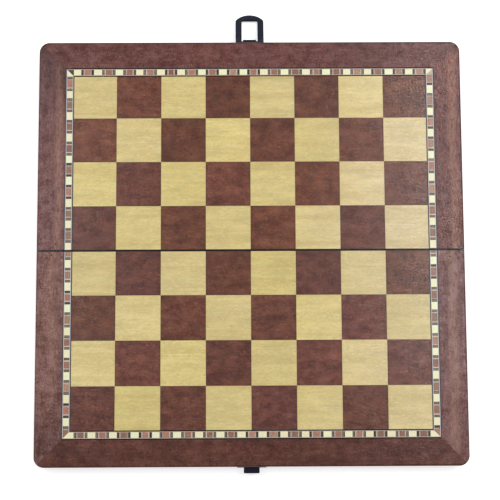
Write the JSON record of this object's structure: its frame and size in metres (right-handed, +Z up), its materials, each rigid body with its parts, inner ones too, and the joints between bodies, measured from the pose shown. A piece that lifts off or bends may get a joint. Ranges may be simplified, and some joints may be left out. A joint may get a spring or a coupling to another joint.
{
  "type": "folding chess board box",
  "caption": "Folding wooden chess board with inlaid squares and mosaic banding; it closes into a flat box with a swinging bail latch.",
  "frame": {"origin": "on the table under the middle of the seam between the two halves, with the board lying open", "axes": "+X along the seam to the right, +Y to the rear half that carries the bail latch, +Z up from the table to the playing surface"},
  "size_m": [0.381, 0.4198, 0.0265],
  "materials": {
    "border_wood": "satin lacquer",
    "panel_plywood": "plain sanded plywood",
    "light_veneer": "satin lacquer",
    "dark_veneer": "satin lacquer",
    "cream_inlay": "satin lacquer",
    "red_inlay": "satin lacquer",
    "bar_inlay": "satin lacquer",
    "black_inlay": "satin lacquer",
    "pale_inlay": "satin lacquer",
    "felt": "short wool felt",
    "black_steel": "blackened, satin",
    "black_screws": "blackened, satin"
  },
  "bodies": {
    "front_half": {"front_outer_rail": "border_wood", "front_left_rail": "border_wood", "front_right_rail": "border_wood", "front_spine_rail": "border_wood", "front_panel": "panel_plywood", "front_felt_lining": "felt", "front_light_squares": "light_veneer", "front_dark_squares": "dark_veneer", "front_black_stringing": "black_inlay", "front_pale_hairlines": "pale_inlay", "front_cream_blocks": "cream_inlay", "front_dark_bars": "bar_inlay", "front_red_blocks": "red_inlay", "left_hinge_front_leaf": "black_steel", "right_hinge_front_leaf": "black_steel", "front_hinge_screws": "black_screws", "left_hinge_pin": "black_steel", "right_hinge_pin": "black_steel", "catch_plate": "black_steel", "catch_screws": "black_screws"},
    "rear_half": {"rear_outer_rail": "border_wood", "rear_left_rail": "border_wood", "rear_right_rail": "border_wood", "rear_spine_rail": "border_wood", "rear_panel": "panel_plywood", "rear_felt_lining": "felt", "rear_light_squares": "light_veneer", "rear_dark_squares": "dark_veneer", "rear_black_stringing": "black_inlay", "rear_pale_hairlines": "pale_inlay", "rear_cream_blocks": "cream_inlay", "rear_dark_bars": "bar_inlay", "rear_red_blocks": "red_inlay", "left_hinge_rear_leaf": "black_steel", "right_hinge_rear_leaf": "black_steel", "rear_hinge_screws": "black_screws", "latch_plate": "black_steel", "latch_pin": "black_steel", "latch_screws": "black_screws"},
    "latch_bail": {"latch_bail": "black_steel"}
  },
  "joints": [
    {"name": "fold", "type": "hinge", "parent": "front_half", "child": "rear_half", "pos_m": [0, 0, 0.00135], "axis": [-1, 0, 0], "range_deg": [0, 180]},
    {"name": "bail_swing", "type": "hinge", "parent": "rear_half", "child": "latch_bail", "pos_m": [0, 0.1941, 0.0135], "axis": [1, 0, 0], "range_deg": [-66.79, 113]}
  ]
}
